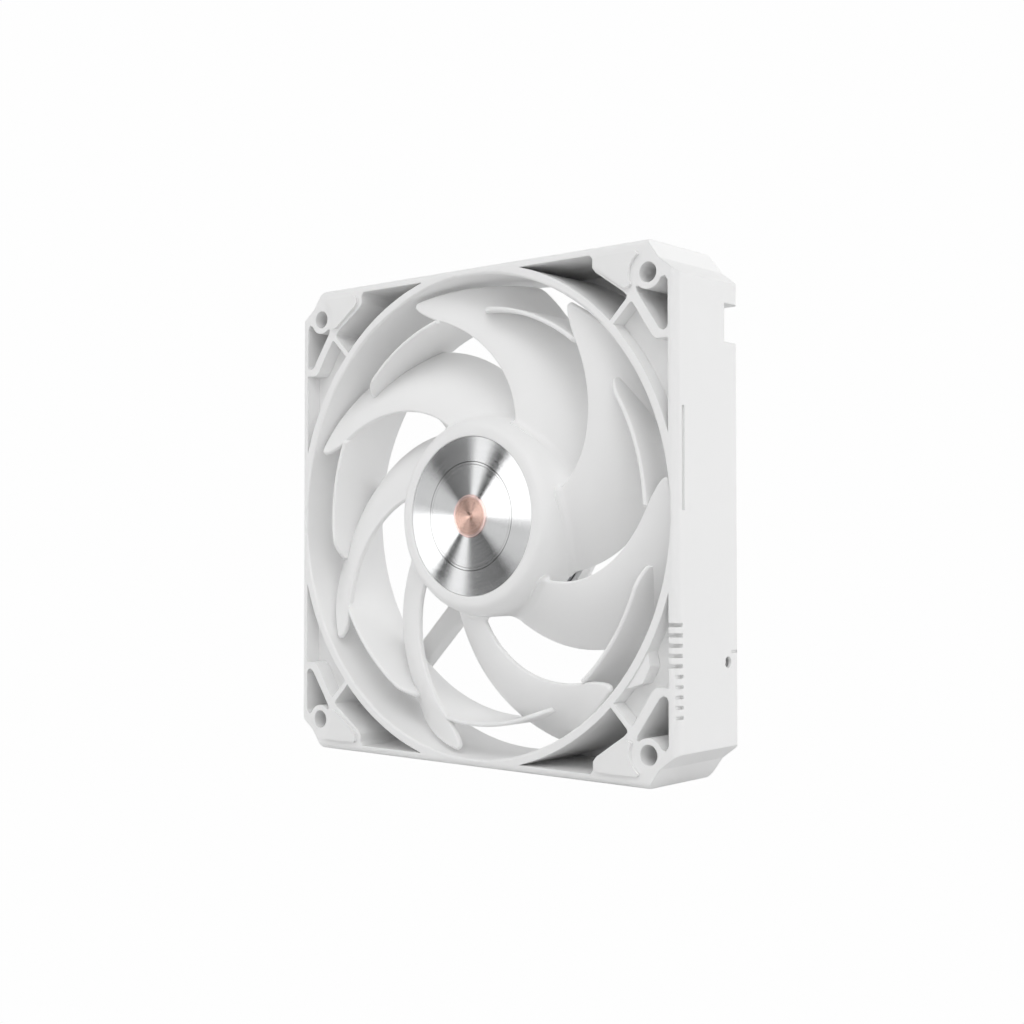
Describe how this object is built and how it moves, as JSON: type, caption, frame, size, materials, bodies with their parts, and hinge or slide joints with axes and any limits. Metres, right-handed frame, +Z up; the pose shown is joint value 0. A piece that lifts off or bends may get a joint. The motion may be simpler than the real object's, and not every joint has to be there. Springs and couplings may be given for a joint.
{
  "type": "case fan",
  "caption": "Square axial case fan: ducted frame with corner screw holes, sickle blades tied by a ring, and an enclosed hub motor on struts.",
  "frame": {"origin": "on the spin axis, half way through the thickness, which is the centre of the bounding box", "axes": "+Z up; the spin axis lies along Y; the intake face with the bright hub disc looks along -Y, and the motor struts and the label are at +Y; +X is the side with the cable notch"},
  "size_m": [0.12, 0.0266, 0.12],
  "materials": {
    "frame_plastic": "semi-matte moulded white",
    "impeller_plastic": "satin moulded white",
    "pad_rubber": "matte white",
    "turned_metal": "turned, fine concentric marks",
    "copper_coloured": "anodised rose copper, satin",
    "brass": "machined",
    "sintered_bronze": "sintered, oiled",
    "hardened_steel": "ground",
    "yoke_steel": "zinc plated",
    "spring_steel": "plain",
    "magnet": "bonded ferrite, matte",
    "seal_rubber": "matte",
    "natural_nylon": "moulded",
    "lamination_steel": "stamped and stacked",
    "copper_wire": "enamelled winding",
    "tinned_steel": "tinned",
    "board_laminate": "solder mask",
    "chip_black": "moulded",
    "capacitor_ceramic": "ceramic",
    "label_film": "blank silver film"
  },
  "bodies": {
    "stator": {"frame": "frame_plastic", "front_pad_top_left": "pad_rubber", "front_pad_top_right": "pad_rubber", "front_pad_bottom_left": "pad_rubber", "front_pad_bottom_right": "pad_rubber", "rear_pad_top_left": "pad_rubber", "rear_pad_top_right": "pad_rubber", "rear_pad_bottom_left": "pad_rubber", "rear_pad_bottom_right": "pad_rubber", "bearing_tube": "brass", "bearing_sleeve": "sintered_bronze", "oil_seal": "seal_rubber", "thrust_pad": "natural_nylon", "stator_core": "lamination_steel", "front_insulator": "natural_nylon", "rear_insulator": "natural_nylon", "coil_1": "copper_wire", "coil_2": "copper_wire", "coil_3": "copper_wire", "coil_4": "copper_wire", "winding_pins": "tinned_steel", "circuit_board": "board_laminate", "driver_chip": "chip_black", "hall_sensor": "chip_black", "board_capacitor": "capacitor_ceramic", "board_resistors": "chip_black", "rear_label": "label_film"},
    "rotor": {"impeller": "impeller_plastic", "hub_disc": "turned_metal", "hub_button": "copper_coloured", "shaft_bush": "brass", "shaft": "hardened_steel", "rotor_yoke": "yoke_steel", "ring_magnet": "magnet", "retaining_clip": "spring_steel"}
  },
  "joints": [
    {"name": "impeller_spin", "type": "hinge", "parent": "stator", "child": "rotor", "pos_m": [0, 0, 0], "axis": [0, -1, 0], "continuous": true}
  ]
}
